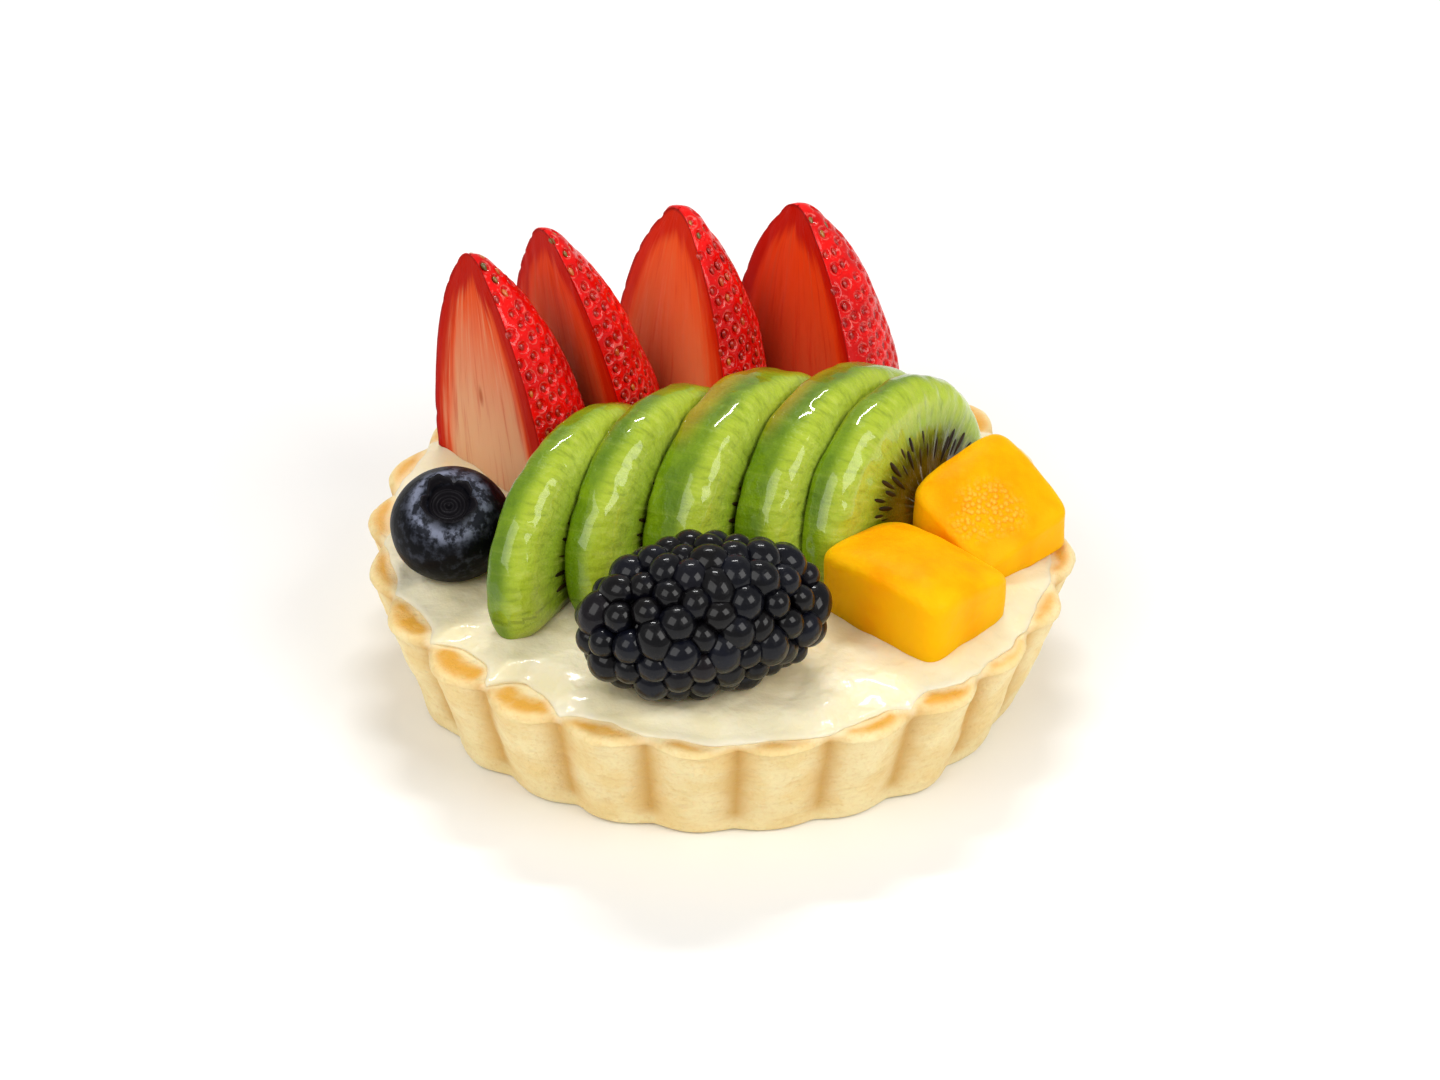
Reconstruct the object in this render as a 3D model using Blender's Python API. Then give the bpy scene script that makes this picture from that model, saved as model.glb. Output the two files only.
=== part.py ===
"""Fruit tart: a fluted pastry case filled with cream and topped with cut fruit.

One frame: the base stands on z = 0, the middle of the tart is the z axis, the front is -Y and the
right-hand side is +X.  Lengths are metres and angles are radians.  An angle round the tart is
measured from the front, growing towards the right.
"""
import math

import bmesh
import bpy
from mathutils import Matrix, Vector

GAP = 0.0003                    # clearance left between neighbouring pieces

# Pastry case
FLUTES = 24
FLUTE_START = math.radians(3.5)
FLUTE_STEPS = 6                 # facets on each flute
BASE_RADIUS = 0.0377
BASE_FLUTE = 0.0009
RIM_RADIUS = 0.0422
RIM_FLUTE = 0.0018
CRUST_HEIGHT = 0.0166
FLOOR_THICKNESS = 0.0035
INNER_BASE_RADIUS = 0.0325
INNER_RIM_RADIUS = 0.0368
OUTER_ROWS = (                  # height of each row of the outer wall, and how far it is drawn in
    (0.0, 0.0004), (0.0005, 0.0), (0.0055, 0.0), (0.0110, 0.0), (0.0153, 0.0), (0.0162, 0.0004),
    (CRUST_HEIGHT, 0.0013),
)
RIM_ROUND = 0.0005              # rounding of the rim's inner edge

# Cream
CREAM_STEPS = 72
CREAM_LEVEL = 0.0178
CREAM_CROWN = 0.0003
CREAM_EDGE = 0.0412             # reach of the cream over the rim
CREAM_LIP = 0.0002              # thickness of the lip at its edge
CREAM_SLOPE = 0.0008            # run of the slope from the lip up to the level
CREAM_DIPS = (                  # angle, depth and half width of each stretch where it falls short
    (math.radians(-42.0), 0.0033, math.radians(17.0)),
    (math.radians(31.0), 0.0014, math.radians(12.0)),
    (math.radians(128.0), 0.0024, math.radians(20.0)),
    (math.radians(-150.0), 0.0020, math.radians(24.0)),
)
SINK = 0.0004                   # how deep the flat-bottomed fruit sits in the cream
FRUIT_FLOOR = CREAM_LEVEL - SINK

# Strawberry halves: facing, base centre x and y, sideways lean, forward lean, length, half width, depth
STRAWBERRIES = (
    (math.radians(49.7), -0.0283, 0.0087, -0.189, -0.033, 0.0318, 0.0119, 1.14),
    (math.radians(51.5), -0.0182, 0.0208, -0.064, 0.127, 0.0314, 0.0121, 0.92),
    (math.radians(54.4), -0.0069, 0.0244, -0.085, -0.105, 0.0295, 0.0131, 0.99),
    (math.radians(52.4), 0.0091, 0.0256, -0.225, -0.177, 0.0280, 0.0134, 1.06),
)
BERRY_FULLNESS = 1.84
BERRY_TIP = 0.70
BERRY_BLUNT = 0.15               # share of the length over which the rounded tip blends in
BERRY_BLUNT_WIDTH = 0.98
BERRY_ROWS = 9
BERRY_ROW_SPREAD = 0.8          # below one, the rows crowd towards the tip
BERRY_TIP_SETBACK = 0.0004      # the tip lies this far behind the cut face
BERRY_STEPS = 12
BERRY_FACE_STEPS = 3

# Kiwi half slices, each leaning on the one before it: middle x and y, turn, lean, thickness, width of
# the rear half and where that half is trimmed
KIWI_SLICES = (
    (-0.0178, -0.0055, math.radians(58.0), math.radians(11.2), 0.0053, 0.0197, 0.0165),
    (-0.0083, -0.0011, math.radians(57.4), math.radians(11.6), 0.0053, 0.0197, 0.0150),
    (0.0012, 0.0029, math.radians(56.6), math.radians(11.9), 0.0078, 0.0197, 0.0130),
    (0.0125, 0.0044, math.radians(55.3), math.radians(12.3), 0.0069, 0.0197, 0.0150),
    (0.0212, 0.0039, math.radians(54.3), math.radians(12.6), 0.0053, 0.0154, 0.0154),
)
KIWI_MIDDLE = 0.0196            # height of the middle of a slice
KIWI_HALF_WIDTH = 0.0197
KIWI_HEIGHT = 0.0167
KIWI_BACK_ROUND = 0.0011        # rounding of the edge that touches the slice before
KIWI_FRONT_ROUND = 0.0030       # rounding of the edge in front
KIWI_ROUND_STEPS = 3
KIWI_STEPS = 22
KIWI_FOOT_STEPS = 5

# Peach cubes: centre x and y, turn, half length, half width, height, slope along and across
PEACHES = (
    (0.0236, -0.0162, math.radians(-41.0), 0.0094, 0.0075, 0.0077, 0.02, -0.20),
    (0.0334, -0.0018, math.radians(-47.0), 0.0068, 0.0079, 0.0072, -0.50, 0.15),
)
PEACH_DOME = 0.0018
PEACH_STEPS = 24
PEACH_SQUARE = 8.0              # the larger, the sharper the corners
PEACH_ROWS = (                  # share of the height and share of the width of each row
    (0.0, 0.96), (0.10, 1.0), (0.55, 1.0), (0.84, 0.985), (0.95, 0.90), (0.995, 0.72), (1.0, 0.40),
)

# Dark bramble berry lying on its side
BRAMBLE_CENTRE = Vector((-0.0018, -0.0301, 0.0267))
BRAMBLE_TURN = math.radians(18.0)
BRAMBLE_LENGTH = 0.0320
BRAMBLE_RADIUS = 0.0102
BRAMBLE_ROWS = 10
DRUPELET_RADIUS = 0.0021
DRUPELET_PITCH = 0.0032
DRUPELET_EDGE = 0.60            # height of the crease between two drupelets, as a share of a drupelet
DRUPELET_CORNER = 0.42          # height of the pit between three drupelets

# Blueberry
BLUEBERRY_CENTRE = Vector((-0.0330, -0.0080, 0.0237))
BLUEBERRY_RADIUS = 0.0072
BLUEBERRY_WIDENING = 1.045       # from side to side
BLUEBERRY_SQUASH = 0.94
BLUEBERRY_TILT = math.radians(29.0)
BLUEBERRY_STEPS = 20
BLUEBERRY_ROWS = 9
CROWN_RADIUS = 0.0027
CROWN_LIFT = 0.0008
CROWN_DEPTH = 0.0012
CROWN_LOBES = 5
CROWN_JAG = 0.12                # reach of the lobes, as a share of the crown's radius
CROWN_ROWS = (                  # share of the crown's radius, share of its lift or depth
    (0.75, 0.3 * CROWN_LIFT, CROWN_JAG),
    (0.60, -CROWN_DEPTH, 0.0),
)


def clear_scene():
    """Start from an empty file."""
    for item in list(bpy.data.objects):
        bpy.data.objects.remove(item, do_unlink=True)


def make_material(name, colour, roughness):
    """One plain material of the colour given."""
    material = bpy.data.materials.new(name)
    material.use_nodes = True
    shader = material.node_tree.nodes["Principled BSDF"]
    shader.inputs["Base Color"].default_value = (*colour, 1.0)
    shader.inputs["Roughness"].default_value = roughness
    return material


def add_object(name, points, faces):
    """A mesh object made of points and faces."""
    mesh = bpy.data.meshes.new(name)
    mesh.from_pydata([tuple(point) for point in points], [], faces)
    mesh.validate()
    made = bpy.data.objects.new(name, mesh)
    bpy.context.scene.collection.objects.link(made)
    return made


def loft(rings, tip=None):
    """Join equal rings into a closed skin; the last ring closes on the tip if one is given."""
    count = len(rings[0])
    points = [point for ring in rings for point in ring]
    faces = []
    for row in range(len(rings) - 1):
        low = row * count
        high = low + count
        for step in range(count):
            after = (step + 1) % count
            faces.append((low + step, low + after, high + after, high + step))
    faces.append(tuple(reversed(range(count))))
    last = (len(rings) - 1) * count
    if tip is None:
        faces.append(tuple(range(last, last + count)))
    else:
        points.append(tip)
        top = len(points) - 1
        for step in range(count):
            faces.append((last + step, last + (step + 1) % count, top))
    return points, faces


def around(angle, radius, height):
    """The point at an angle from the front."""
    return Vector((radius * math.sin(angle), -radius * math.cos(angle), height))


def flute(angle):
    """Zero in the crease between two flutes and one on the crest of a flute."""
    return abs(math.sin(0.5 * FLUTES * (angle - FLUTE_START)))


def crust_radius(angle, height):
    """Outside radius of the fluted wall, which leans out as it rises."""
    share = height / CRUST_HEIGHT
    radius = BASE_RADIUS + (RIM_RADIUS - BASE_RADIUS) * share
    depth = BASE_FLUTE + (RIM_FLUTE - BASE_FLUTE) * share
    return radius + depth * flute(angle)


def build_crust():
    """Fluted case: outer wall, rounded rim, inner wall and floor."""
    inner_rows = (
        (INNER_RIM_RADIUS + RIM_ROUND, CRUST_HEIGHT),
        (INNER_RIM_RADIUS, CRUST_HEIGHT - RIM_ROUND),
        (INNER_BASE_RADIUS, FLOOR_THICKNESS),
    )
    count = FLUTES * FLUTE_STEPS
    angles = [FLUTE_START + 2.0 * math.pi * step / count for step in range(count)]
    rings = []
    for height, inset in OUTER_ROWS:
        rings.append([around(angle, crust_radius(angle, height) - inset, height) for angle in angles])
    for radius, height in inner_rows:
        rings.append([around(angle, radius, height) for angle in angles])
    return loft(rings)


def cream_edge(angle):
    """How far out the cream spreads over the rim at an angle."""
    reach = CREAM_EDGE
    for middle, depth, half_width in CREAM_DIPS:
        away = math.remainder(angle - middle, 2.0 * math.pi) / half_width
        reach -= depth * math.exp(-away * away)
    return reach


def build_cream():
    """Cream up to the level shown, with a thin lip spread over the rim."""
    angles = [2.0 * math.pi * step / CREAM_STEPS for step in range(CREAM_STEPS)]
    over_rim = CRUST_HEIGHT + GAP
    fill = INNER_RIM_RADIUS - 2.0 * GAP
    bottom = INNER_BASE_RADIUS - 2.0 * GAP
    rings = [
        [around(angle, bottom, FLOOR_THICKNESS + GAP) for angle in angles],
        [around(angle, fill, over_rim) for angle in angles],
        [around(angle, cream_edge(angle) - CREAM_LIP, over_rim) for angle in angles],
        [around(angle, cream_edge(angle), over_rim + CREAM_LIP) for angle in angles],
        [around(angle, cream_edge(angle) - CREAM_SLOPE, CREAM_LEVEL) for angle in angles],
        [around(angle, 0.5 * fill, CREAM_LEVEL + CREAM_CROWN) for angle in angles],
    ]
    return loft(rings, Vector((0.0, 0.0, CREAM_LEVEL + CREAM_CROWN)))


def berry_profile(share):
    """Width of a strawberry from its rounded tip at zero to its cut base at one."""
    body = (1.0 - (1.0 - share) ** BERRY_FULLNESS) ** BERRY_TIP
    if share >= BERRY_BLUNT:
        return body
    blend = (share / BERRY_BLUNT) ** 2 * (3.0 - 2.0 * share / BERRY_BLUNT)
    return body * blend + BERRY_BLUNT_WIDTH * math.sqrt(share) * (1.0 - blend)


def build_strawberry(berry, grow):
    """Half a strawberry on its cut base, with its flat face to one side."""
    facing, x, y, lean_side, lean_front, length, half_width, depth = berry
    normal = Vector((-math.sin(facing), -math.cos(facing), 0.0))
    side = Vector((math.cos(facing), -math.sin(facing), 0.0))
    axis = (Vector((0.0, 0.0, 1.0)) + side * lean_side + normal * lean_front).normalized()
    base = Vector((x, y, FRUIT_FLOOR))
    rings = []
    for row in range(BERRY_ROWS):
        share = 1.0 - (row / BERRY_ROWS) ** BERRY_ROW_SPREAD
        radius = half_width * berry_profile(share) + grow
        middle = base + axis * (length * (1.0 - share))
        ring = []
        for step in range(BERRY_STEPS + 1):
            turn = math.pi * step / BERRY_STEPS
            out = math.sin(turn) * (radius * depth + grow) - grow
            ring.append(middle + side * (radius * math.cos(turn)) - normal * out)
        for step in range(1, BERRY_FACE_STEPS):
            across = 2.0 * step / BERRY_FACE_STEPS - 1.0
            ring.append(middle + side * (radius * across) + normal * grow)
        if row == 0:
            for point in ring:
                point.z = FRUIT_FLOOR - grow
        rings.append(ring)
    tip = base + axis * (length + grow) - normal * (BERRY_TIP_SETBACK - grow)
    return loft(rings, tip)


def build_kiwi(cut, grow):
    """Half slice of peeled kiwi standing on its straight side, with softened edges."""
    x, y, turn, lean, thickness, rear_width, rear_trim = cut
    chord = Vector((math.cos(turn), math.sin(turn), 0.0))
    level = Vector((math.sin(turn), -math.cos(turn), 0.0))
    up = Vector((0.0, 0.0, 1.0))
    facing = level * math.cos(lean) + up * math.sin(lean)
    rise = up * math.cos(lean) - level * math.sin(lean)
    middle = Vector((x, y, KIWI_MIDDLE))
    profile = [(-grow, KIWI_BACK_ROUND), (KIWI_BACK_ROUND, 0.0)]
    for step in range(KIWI_ROUND_STEPS + 1):
        bend = 0.5 * math.pi * step / KIWI_ROUND_STEPS
        depth = thickness - KIWI_FRONT_ROUND * (1.0 - math.sin(bend)) + grow * math.sin(bend)
        profile.append((depth, KIWI_FRONT_ROUND * (1.0 - math.cos(bend))))
    rings = []
    for depth, inset in profile:
        centre = middle + facing * depth
        height = KIWI_HEIGHT - inset + grow
        front = KIWI_HALF_WIDTH - inset + grow
        rear = rear_width - inset + grow
        below = math.asin((centre.z - FRUIT_FLOOR + grow) / (height * rise.z))
        ring = []
        for step in range(KIWI_STEPS + 1):
            angle = -below + (math.pi + 2.0 * below) * step / KIWI_STEPS
            across = math.cos(angle)
            along = min(rear * across, rear_trim - inset + grow) if across > 0.0 else front * across
            ring.append(centre + chord * along + rise * (height * math.sin(angle)))
        first = ring[0]
        last = ring[-1]
        for step in range(1, KIWI_FOOT_STEPS):
            ring.append(last.lerp(first, step / KIWI_FOOT_STEPS))
        rings.append(ring)
    return loft(rings)


def rounded_square(turn):
    """Reach of a square with rounded corners in the direction of turn."""
    across = abs(math.cos(turn)) ** PEACH_SQUARE + abs(math.sin(turn)) ** PEACH_SQUARE
    return across ** (-1.0 / PEACH_SQUARE)


def build_peach(cube, grow):
    """Cut cube of peach with a gently domed and sloping top."""
    x, y, turn, half_length, half_width, height, slope_along, slope_across = cube
    along = Vector((math.cos(turn), math.sin(turn), 0.0))
    across = Vector((-math.sin(turn), math.cos(turn), 0.0))
    base = Vector((x, y, FRUIT_FLOOR))
    rings = []
    for rise, spread in PEACH_ROWS:
        ring = []
        for step in range(PEACH_STEPS):
            angle = 2.0 * math.pi * step / PEACH_STEPS
            reach = rounded_square(angle) * spread
            a = reach * math.cos(angle)
            b = reach * math.sin(angle)
            top = height + slope_along * a * half_length + slope_across * b * half_width
            top += PEACH_DOME * (1.0 - 0.5 * (a * a + b * b))
            level = rise * (top + grow) - (grow if rise == 0.0 else 0.0)
            side = along * (a * (half_length + grow)) + across * (b * (half_width + grow))
            ring.append(base + side + Vector((0.0, 0.0, level)))
        rings.append(ring)
    return loft(rings, base + Vector((0.0, 0.0, height + PEACH_DOME + grow)))


def drupelet_middles():
    """Middles of the drupelets on an oval, in staggered rows round it."""
    half = 0.5 * BRAMBLE_LENGTH - DRUPELET_RADIUS
    girth = BRAMBLE_RADIUS - DRUPELET_RADIUS
    middles = []
    for row in range(BRAMBLE_ROWS):
        polar = math.pi * (row + 0.5) / BRAMBLE_ROWS
        around_row = 2.0 * math.pi * girth * math.sin(polar)
        count = max(3, round(around_row / DRUPELET_PITCH))
        for step in range(count):
            turn = 2.0 * math.pi * (step + 0.5 * (row % 2)) / count
            middles.append(Vector((half * math.cos(polar),
                                   girth * math.sin(polar) * math.cos(turn),
                                   girth * math.sin(polar) * math.sin(turn))))
    return middles


def build_bramble(grow):
    """Dark bramble: a bump for each drupelet, with creases between them."""
    half = 0.5 * BRAMBLE_LENGTH - DRUPELET_RADIUS
    girth = BRAMBLE_RADIUS - DRUPELET_RADIUS
    place = Matrix.Translation(BRAMBLE_CENTRE) @ Matrix.Rotation(BRAMBLE_TURN, 4, "Z")
    middles = drupelet_middles()

    def lifted(spot, share):
        size = math.sqrt((spot.x / half) ** 2 + (spot.y ** 2 + spot.z ** 2) / girth ** 2)
        core = spot / size
        out = Vector((core.x / half ** 2, core.y / girth ** 2, core.z / girth ** 2)).normalized()
        return place @ (core + out * (DRUPELET_RADIUS * share + grow))

    net = bmesh.new()
    for middle in middles:
        net.verts.new(middle)
    net.verts.ensure_lookup_table()
    net.verts.index_update()
    bmesh.ops.convex_hull(net, input=net.verts[:])
    bmesh.ops.triangulate(net, faces=net.faces[:])
    points = [lifted(vertex.co, 1.0) for vertex in net.verts]
    edge_points = {}
    for edge in net.edges:
        edge_points[edge] = len(points)
        points.append(lifted((edge.verts[0].co + edge.verts[1].co) * 0.5, DRUPELET_EDGE))
    faces = []
    for face in net.faces:
        corner = len(points)
        points.append(lifted(face.calc_center_median(), DRUPELET_CORNER))
        for loop in face.loops:
            edge_point = edge_points[loop.edge]
            faces.append((loop.vert.index, edge_point, corner))
            faces.append((edge_point, loop.link_loop_next.vert.index, corner))
    net.free()
    return points, faces


def build_blueberry(grow):
    """Blueberry with the hollow crown on top, tipped forward."""
    place = Matrix.Translation(BLUEBERRY_CENTRE) @ Matrix.Rotation(BLUEBERRY_TILT, 4, "X")
    radius = BLUEBERRY_RADIUS + grow
    edge = math.asin(CROWN_RADIUS / BLUEBERRY_RADIUS)
    rows = []
    for row in range(1, BLUEBERRY_ROWS + 1):
        polar = math.pi - (math.pi - edge) * row / BLUEBERRY_ROWS
        rows.append((radius * math.sin(polar), radius * BLUEBERRY_SQUASH * math.cos(polar), 0.0))
    top = rows[-1][1]
    rows.append((CROWN_RADIUS + grow, top + CROWN_LIFT, CROWN_JAG))
    if grow == 0.0:
        for share, lift, jag in CROWN_ROWS:
            rows.append((share * CROWN_RADIUS, top + lift, jag))
    rings = []
    for reach, height, jag in rows:
        ring = []
        for step in range(BLUEBERRY_STEPS):
            turn = 2.0 * math.pi * step / BLUEBERRY_STEPS
            out = reach * (1.0 + jag * math.cos(CROWN_LOBES * turn))
            ring.append(place @ Vector((out * BLUEBERRY_WIDENING * math.cos(turn), out * math.sin(turn), height)))
        rings.append(ring)
    return loft(rings)


def cut_pocket(body, name, shape):
    """Leave room in a body for the piece that presses into it."""
    cutter = add_object(name, *shape)
    cutter.hide_render = True
    cutter.display_type = "WIRE"
    cut = body.modifiers.new(name, "BOOLEAN")
    cut.operation = "DIFFERENCE"
    cut.solver = "EXACT"
    cut.object = cutter


def add_fruit(cream, name, build, material):
    """Add one fruit and its pocket in the cream."""
    fruit = add_object(name, *build(0.0))
    fruit.data.materials.append(material)
    cut_pocket(cream, name + "_pocket", build(GAP))
    return fruit


def main():
    clear_scene()
    crust = add_object("crust", *build_crust())
    crust.data.materials.append(make_material("shortcrust", (0.80, 0.58, 0.27), 0.75))
    cream = add_object("cream", *build_cream())
    cream.data.materials.append(make_material("custard_cream", (0.88, 0.80, 0.56), 0.35))
    for index, berry in enumerate(STRAWBERRIES):
        material = make_material(f"strawberry_red_{index + 1}", (0.62, 0.02, 0.01), 0.3)
        add_fruit(cream, f"strawberry_{index + 1}", lambda grow: build_strawberry(berry, grow), material)
    for index, cut in enumerate(KIWI_SLICES):
        material = make_material(f"kiwi_green_{index + 1}", (0.30, 0.48, 0.04), 0.25)
        add_fruit(cream, f"kiwi_{index + 1}", lambda grow: build_kiwi(cut, grow), material)
    for index, cube in enumerate(PEACHES):
        material = make_material(f"peach_orange_{index + 1}", (1.0, 0.44, 0.01), 0.3)
        peach = add_fruit(cream, f"peach_{index + 1}", lambda grow: build_peach(cube, grow), material)
        cut_pocket(peach, f"peach_{index + 1}_rest", build_kiwi(KIWI_SLICES[-1], GAP))
    add_fruit(cream, "bramble", build_bramble, make_material("bramble_black", (0.01, 0.01, 0.02), 0.25))
    add_fruit(cream, "blueberry", build_blueberry, make_material("blueberry_blue", (0.03, 0.04, 0.08), 0.5))


main()
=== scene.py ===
"""Looks of the fruit tart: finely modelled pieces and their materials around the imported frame.

Lengths are metres and angles are radians.  An angle round the tart is measured from the front (-Y),
growing towards the right (+X).
"""
import math

import bmesh
import bpy
import numpy as np
from mathutils import Matrix, Vector


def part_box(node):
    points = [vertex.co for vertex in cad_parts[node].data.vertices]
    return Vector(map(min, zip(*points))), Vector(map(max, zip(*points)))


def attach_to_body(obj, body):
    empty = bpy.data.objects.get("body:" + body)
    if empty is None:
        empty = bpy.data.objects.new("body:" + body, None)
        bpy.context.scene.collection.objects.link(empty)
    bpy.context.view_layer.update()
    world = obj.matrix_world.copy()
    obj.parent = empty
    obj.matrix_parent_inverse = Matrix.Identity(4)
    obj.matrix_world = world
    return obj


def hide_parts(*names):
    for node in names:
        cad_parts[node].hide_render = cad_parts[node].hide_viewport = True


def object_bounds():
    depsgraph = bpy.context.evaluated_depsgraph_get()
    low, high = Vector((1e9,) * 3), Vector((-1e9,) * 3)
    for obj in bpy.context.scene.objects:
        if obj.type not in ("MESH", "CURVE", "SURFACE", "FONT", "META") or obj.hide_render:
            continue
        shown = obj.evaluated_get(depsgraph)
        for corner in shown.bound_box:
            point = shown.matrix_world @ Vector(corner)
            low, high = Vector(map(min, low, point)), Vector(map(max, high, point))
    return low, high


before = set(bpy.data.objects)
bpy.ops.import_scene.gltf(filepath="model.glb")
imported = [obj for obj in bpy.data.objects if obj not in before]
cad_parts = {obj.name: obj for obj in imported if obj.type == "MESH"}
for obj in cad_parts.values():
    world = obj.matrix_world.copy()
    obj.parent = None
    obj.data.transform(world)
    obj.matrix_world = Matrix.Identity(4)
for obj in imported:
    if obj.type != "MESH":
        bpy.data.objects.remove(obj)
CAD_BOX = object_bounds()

UP = np.array((0.0, 0.0, 1.0))

# Pastry case, as in the model
FLUTES = 24
FLUTE_START = math.radians(3.5)
FLUTE_STEPS = 30                # columns on each flute
CREASE_SOFTNESS = 0.10
BASE_RADIUS = 0.0377
BASE_FLUTE = 0.0009
RIM_RADIUS = 0.0422
RIM_FLUTE = 0.0018
CRUST_HEIGHT = 0.0166
BASE_ROUND = 0.0009
RIM_ROUND = 0.0010
INNER_ROUND = 0.0006
INNER_RIM_RADIUS = 0.0368
INNER_BASE_RADIUS = 0.0325
FLOOR_THICKNESS = 0.0035

# Cream, as in the model
CREAM_THICKNESS = 0.0012        # above the rim
CREAM_EDGE = 0.0412
CREAM_DIPS = (
    (math.radians(-42.0), 0.0033, math.radians(17.0)),
    (math.radians(31.0), 0.0014, math.radians(12.0)),
    (math.radians(128.0), 0.0024, math.radians(20.0)),
    (math.radians(-150.0), 0.0020, math.radians(24.0)),
)
CREAM_FRONT = math.radians(8.0)     # it spreads a little further here
CREAM_FRONT_SPREAD = 0.0009
CREAM_COLUMNS = 600

# Strawberry halves: facing, sideways lean, forward lean, length, half width, depth
STRAWBERRIES = (
    (math.radians(49.7), -0.189, -0.033, 0.0318, 0.0119, 1.14),
    (math.radians(51.5), -0.064, 0.127, 0.0314, 0.0121, 0.92),
    (math.radians(54.4), -0.085, -0.105, 0.0295, 0.0131, 0.99),
    (math.radians(52.4), -0.225, -0.177, 0.0280, 0.0134, 1.06),
)
BERRY_FULLNESS = 1.84
BERRY_TIP = 0.70
BERRY_BLUNT = 0.15              # how far down the rounding of the tip reaches
BERRY_ROWS = 160
BERRY_SKIN_STEPS = 150
BERRY_FACE_STEPS = 40
SEED_PITCH = 0.00200
PIT_RADIUS = 0.00085            # of the lip round each seed's pit

# Kiwi half slices: turn, lean, thickness, width of the rear half and where that half is trimmed
KIWI_SLICES = (
    (math.radians(58.0), math.radians(11.2), 0.0053, 0.0197, 0.0165),
    (math.radians(57.4), math.radians(11.6), 0.0053, 0.0197, 0.0150),
    (math.radians(56.6), math.radians(11.9), 0.0078, 0.0197, 0.0130),
    (math.radians(55.3), math.radians(12.3), 0.0069, 0.0197, 0.0150),
    (math.radians(54.3), math.radians(12.6), 0.0053, 0.0154, 0.0154),
)
KIWI_MIDDLE = 0.0196
KIWI_HALF_WIDTH = 0.0197
KIWI_HEIGHT = 0.0167
KIWI_BACK_ROUND = 0.0011
KIWI_FRONT_ROUND = 0.0032
KIWI_FLOOR = 0.0174
KIWI_FOOT_ROUND = 0.0030        # height over which a slice thins to its rounded foot
KIWI_COLUMNS = 160

# Peach cubes: turn, half length, half width, height, slope along and across
PEACHES = (
    (math.radians(-41.0), 0.0094, 0.0075, 0.0077, 0.02, -0.20),
    (math.radians(-47.0), 0.0068, 0.0079, 0.0072, -0.50, 0.15),
)
PEACH_PATCH = (0.42, -0.42, 0.80)    # fibrous patch on the second cube: middle along and across, and reach
PEACH_DOME = 0.0018
PEACH_SQUARE = 7.0

# Bramble and blueberry
BRAMBLE_TURN = math.radians(18.0)
BRAMBLE_LENGTH = 0.0320
BRAMBLE_RADIUS = 0.0102
DRUPELET_RADIUS = 0.00215
DRUPELETS = 116
BLUEBERRY_RADIUS = 0.0072
BLUEBERRY_WIDENING = 1.045
BLUEBERRY_SQUASH = 0.94
BLUEBERRY_TILT = math.radians(29.0)
CROWN_RADIUS = 0.0026
CROWN_SPREAD = 0.0010           # how far the lobes lean out
CROWN_LIFT = 0.0013
CROWN_DEPTH = 0.0010


# ---------------------------------------------------------------- noise and mesh helpers

def cell_values(cells, seed):
    """A repeatable number from -1 to 1 for each whole-number cell."""
    mixed = cells[..., 0] * 73856093 ^ cells[..., 1] * 19349663 ^ cells[..., 2] * 83492791
    mixed = (mixed ^ seed * 40503) & 0xFFFFFFFF
    mixed = ((mixed ^ mixed >> 15) * 1274126177) & 0xFFFFFFFF
    mixed = ((mixed ^ mixed >> 13) * 1103515245) & 0xFFFFFFFF
    return (mixed ^ mixed >> 16) / 0x7FFFFFFF - 1.0


def noise(points, size, seed):
    """Smooth noise from -1 to 1, with features about size across."""
    spots = np.asarray(points) / size
    cells = np.floor(spots).astype(np.int64)
    part = spots - cells
    part = part * part * (3.0 - 2.0 * part)
    total = np.zeros(spots.shape[:-1])
    for corner in np.ndindex(2, 2, 2):
        weight = np.ones(spots.shape[:-1])
        for axis in range(3):
            weight = weight * (part[..., axis] if corner[axis] else 1.0 - part[..., axis])
        total += weight * cell_values(cells + np.array(corner), seed)
    return total


def fractal(points, size, seed, octaves=3):
    """Noise with finer noise added to it."""
    total = np.zeros(np.asarray(points).shape[:-1])
    for octave in range(octaves):
        total += noise(points, size / 2 ** octave, seed + octave) / 2 ** octave
    return total


def smooth_step(low, high, value):
    """Zero below low, one above high, smooth between."""
    share = np.clip((value - low) / (high - low), 0.0, 1.0)
    return share * share * (3.0 - 2.0 * share)


def ring_faces(rows, columns, start=0):
    """Quads between rings of points that go all the way round."""
    row, column = np.meshgrid(np.arange(rows - 1), np.arange(columns), indexing="ij")
    low = start + row * columns + column
    low_next = start + row * columns + (column + 1) % columns
    return np.stack([low, low_next, low_next + columns, low + columns], axis=-1).reshape(-1, 4).tolist()


def fan_faces(ring_start, columns, centre, outward=True):
    """Triangles from a ring of points to one point."""
    faces = []
    for column in range(columns):
        after = ring_start + (column + 1) % columns
        here = ring_start + column
        faces.append((here, after, centre) if outward else (after, here, centre))
    return faces


def closed_skin(grid, low_end, high_end):
    """Points and faces of rings of points closed by one point at each end."""
    rows, columns = grid.shape[:2]
    points = np.concatenate([grid.reshape(-1, 3), [low_end], [high_end]])
    count = rows * columns
    faces = ring_faces(rows, columns)
    faces += fan_faces(0, columns, count, outward=False)
    faces += fan_faces(count - columns, columns, count + 1)
    return points, faces


def make_mesh(name, points, faces):
    """A smooth mesh object."""
    mesh = bpy.data.meshes.new(name)
    mesh.from_pydata(np.asarray(points).tolist(), [], faces)
    mesh.shade_smooth()
    made = bpy.data.objects.new(name, mesh)
    bpy.context.scene.collection.objects.link(made)
    return made


def normals_of(piece):
    """The piece's vertex normals."""
    values = np.zeros(len(piece.data.vertices) * 3, np.float32)
    piece.data.vertex_normals.foreach_get("vector", values)
    return values.reshape(-1, 3).astype(float)


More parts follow.
